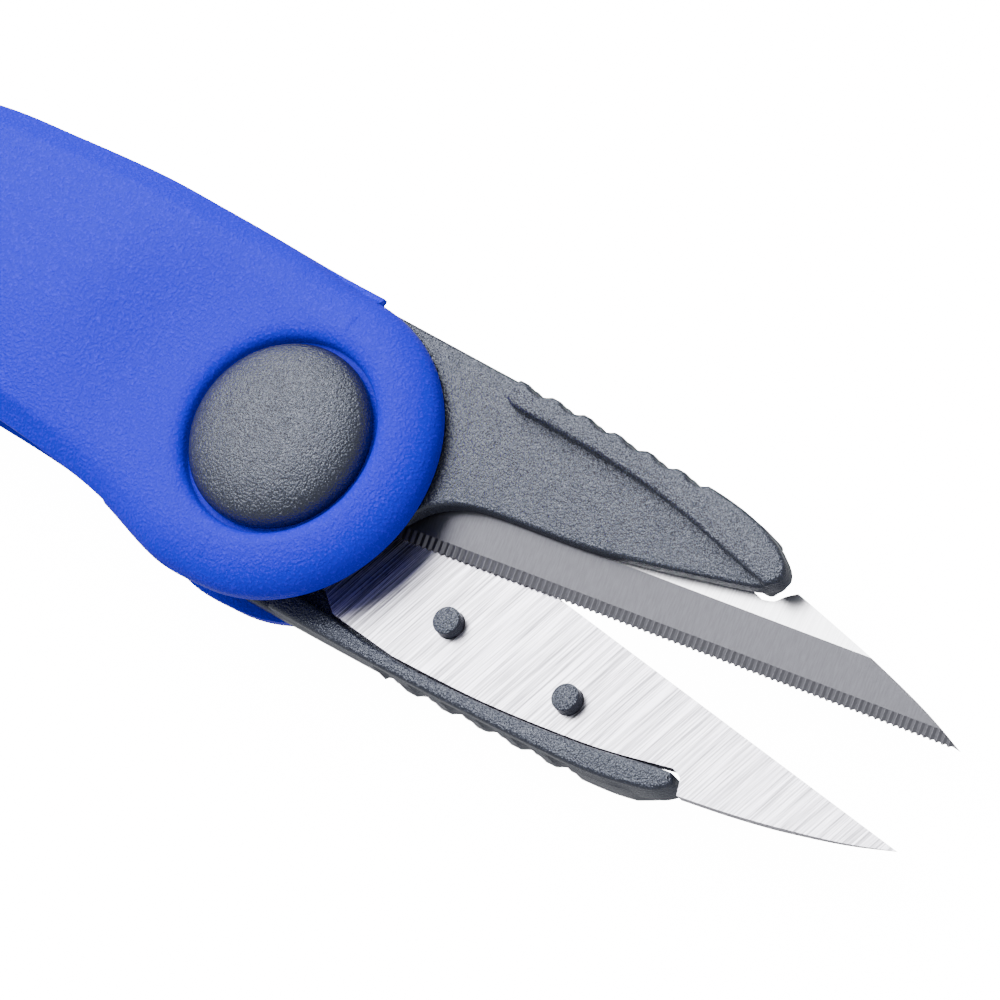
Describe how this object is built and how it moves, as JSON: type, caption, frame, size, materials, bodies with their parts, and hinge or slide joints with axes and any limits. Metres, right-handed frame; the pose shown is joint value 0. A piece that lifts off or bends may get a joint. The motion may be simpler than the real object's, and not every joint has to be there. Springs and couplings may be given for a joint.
{
  "type": "folding thread snips",
  "caption": "Folding thread snips: curved blue casing, large round pivot buttons, two spring-opened grey arms with one toothed and one plain steel blade.",
  "frame": {"origin": "on the pivot axis, at the flat centre of the rear button, which is what the snips rest on", "axes": "+X along the opened snips to the blade tips, +Y to the closed back of the casing, +Z to the front"},
  "size_m": [0.1265, 0.0253, 0.0132],
  "materials": {
    "blue_plastic": "fine grained",
    "grey_plastic": "fine grained",
    "blade_steel": "ground across the blade",
    "zinc_steel": "satin",
    "spring_steel": "satin",
    "nickel_plate": "plated"
  },
  "bodies": {
    "casing": {"front_shell": "blue_plastic", "rear_shell": "blue_plastic", "front_button": "grey_plastic", "rear_button": "grey_plastic", "pivot_screw": "zinc_steel", "pivot_nut": "zinc_steel", "pivot_sleeve": "zinc_steel", "front_washer": "zinc_steel", "rear_washer": "zinc_steel", "shell_screw_1": "zinc_steel", "shell_screw_2": "zinc_steel", "tail_eyelet": "nickel_plate"},
    "carrier": {"spring_carrier": "grey_plastic", "return_spring": "spring_steel"},
    "upper_jaw": {"front_arm": "grey_plastic", "front_blade": "blade_steel"},
    "lower_jaw": {"rear_arm": "grey_plastic", "rear_blade": "blade_steel"}
  },
  "joints": [
    {"name": "fold", "type": "hinge", "parent": "casing", "child": "carrier", "pos_m": [0, 0, 0.0066], "axis": [0, 0, -1], "range_deg": [0, 172]},
    {"name": "squeeze_front", "type": "hinge", "parent": "carrier", "child": "upper_jaw", "pos_m": [0, 0, 0.0066], "axis": [0, 0, -1], "range_deg": [0, 4.4], "stiffness_Nm_per_rad": 0.01, "springref_deg": -11.46},
    {"name": "squeeze_rear", "type": "hinge", "parent": "carrier", "child": "lower_jaw", "pos_m": [0, 0, 0.0066], "axis": [0, 0, 1], "range_deg": [0, 4.4], "stiffness_Nm_per_rad": 0.01, "springref_deg": -11.46}
  ],
  "couplings": [
    {"joint": "squeeze_rear", "follows": "squeeze_front", "ratio": 1}
  ]
}
